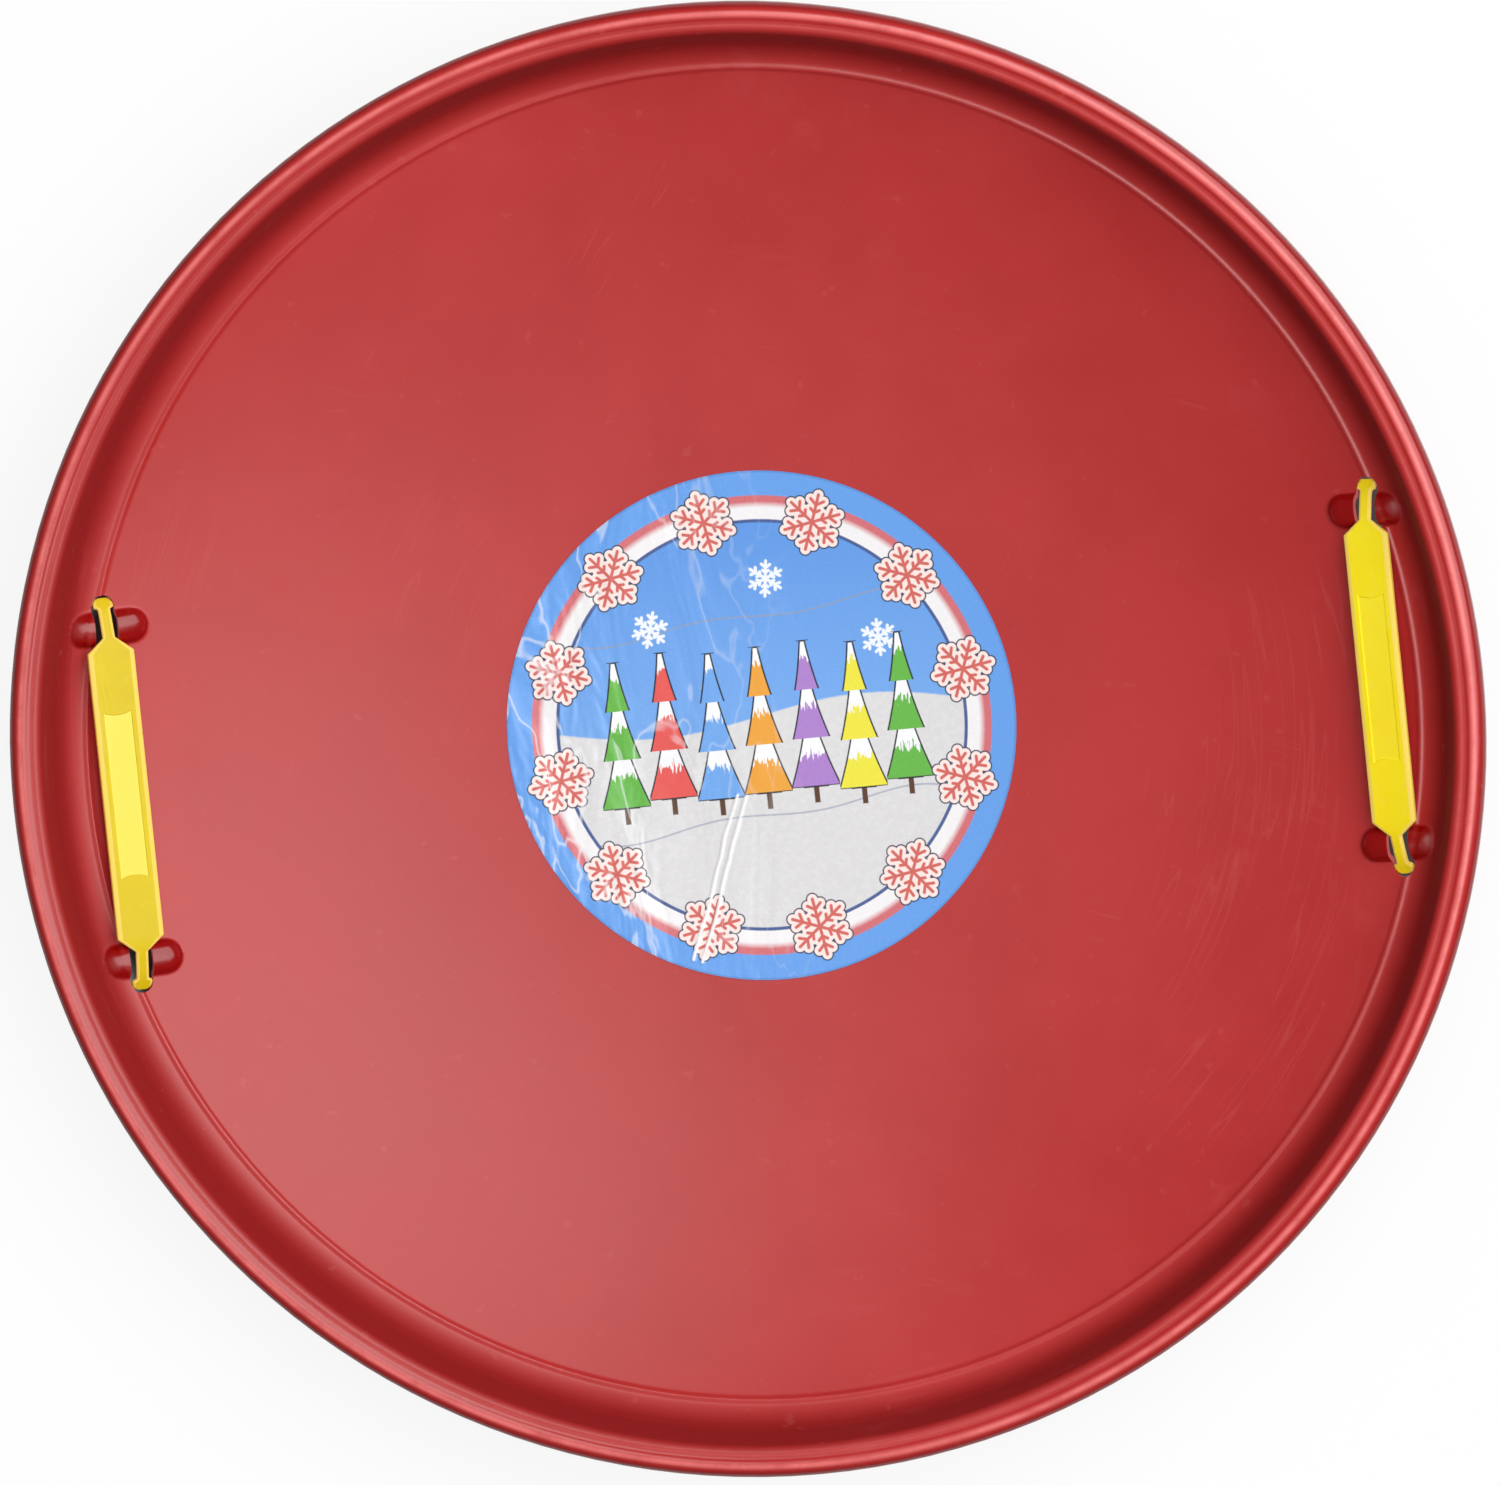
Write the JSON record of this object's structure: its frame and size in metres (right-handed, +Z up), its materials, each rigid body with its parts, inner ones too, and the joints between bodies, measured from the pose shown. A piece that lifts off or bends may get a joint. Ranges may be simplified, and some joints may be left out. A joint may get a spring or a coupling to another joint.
{
  "type": "saucer sled",
  "caption": "Round plastic saucer sled with a dished floor, rolled rim, domed strap anchors, flexible grab straps and a round printed label.",
  "frame": {"origin": "centre of the flat patch under the middle of the dish, where the sled rests on the ground", "axes": "+Z up out of the open side, +X towards the right handle, +Y along the straps"},
  "size_m": [0.66, 0.66, 0.089],
  "materials": {
    "shell_plastic": "red moulded plastic with a satin gloss and light scuffs",
    "strap_plastic": "yellow flexible moulded plastic, satin",
    "label_film": "glossy printed film, slightly wrinkled"
  },
  "bodies": {
    "sled": {"sled_body": "shell_plastic", "round_label": "label_film"},
    "left_grip": {"left_handle_grip": "strap_plastic"},
    "left_front_end": {"left_handle_front_end": "strap_plastic"},
    "left_rear_end": {"left_handle_rear_end": "strap_plastic"},
    "right_grip": {"right_handle_grip": "strap_plastic"},
    "right_front_end": {"right_handle_front_end": "strap_plastic"},
    "right_rear_end": {"right_handle_rear_end": "strap_plastic"}
  },
  "joints": [
    {"name": "right_grip_lift", "type": "slide", "parent": "sled", "child": "right_grip", "axis": [-0.3593, 0, 0.9332], "range_m": [0, 0.011], "stiffness_N_per_m": 500},
    {"name": "right_rear_end_flex", "type": "hinge", "parent": "right_grip", "child": "right_rear_end", "pos_m": [0.28273, 0.0698, 0.05858], "axis": [-0.9332, 0, -0.3593], "range_deg": [0, 48]},
    {"name": "right_front_end_flex", "type": "hinge", "parent": "right_grip", "child": "right_front_end", "pos_m": [0.28273, -0.0698, 0.05858], "axis": [0.9332, 0, 0.3593], "range_deg": [0, 48]},
    {"name": "left_grip_lift", "type": "slide", "parent": "sled", "child": "left_grip", "axis": [0.3593, 0, 0.9332], "range_m": [0, 0.011], "stiffness_N_per_m": 500},
    {"name": "left_rear_end_flex", "type": "hinge", "parent": "left_grip", "child": "left_rear_end", "pos_m": [-0.28273, 0.0698, 0.05858], "axis": [-0.9332, 0, 0.3593], "range_deg": [0, 48]},
    {"name": "left_front_end_flex", "type": "hinge", "parent": "left_grip", "child": "left_front_end", "pos_m": [-0.28273, -0.0698, 0.05858], "axis": [0.9332, 0, -0.3593], "range_deg": [0, 48]}
  ],
  "couplings": [
    {"joint": "right_rear_end_flex", "follows": "right_grip_lift", "rad_per_m": 76.1},
    {"joint": "right_front_end_flex", "follows": "right_grip_lift", "rad_per_m": 76.1},
    {"joint": "left_rear_end_flex", "follows": "left_grip_lift", "rad_per_m": 76.1},
    {"joint": "left_front_end_flex", "follows": "left_grip_lift", "rad_per_m": 76.1}
  ]
}
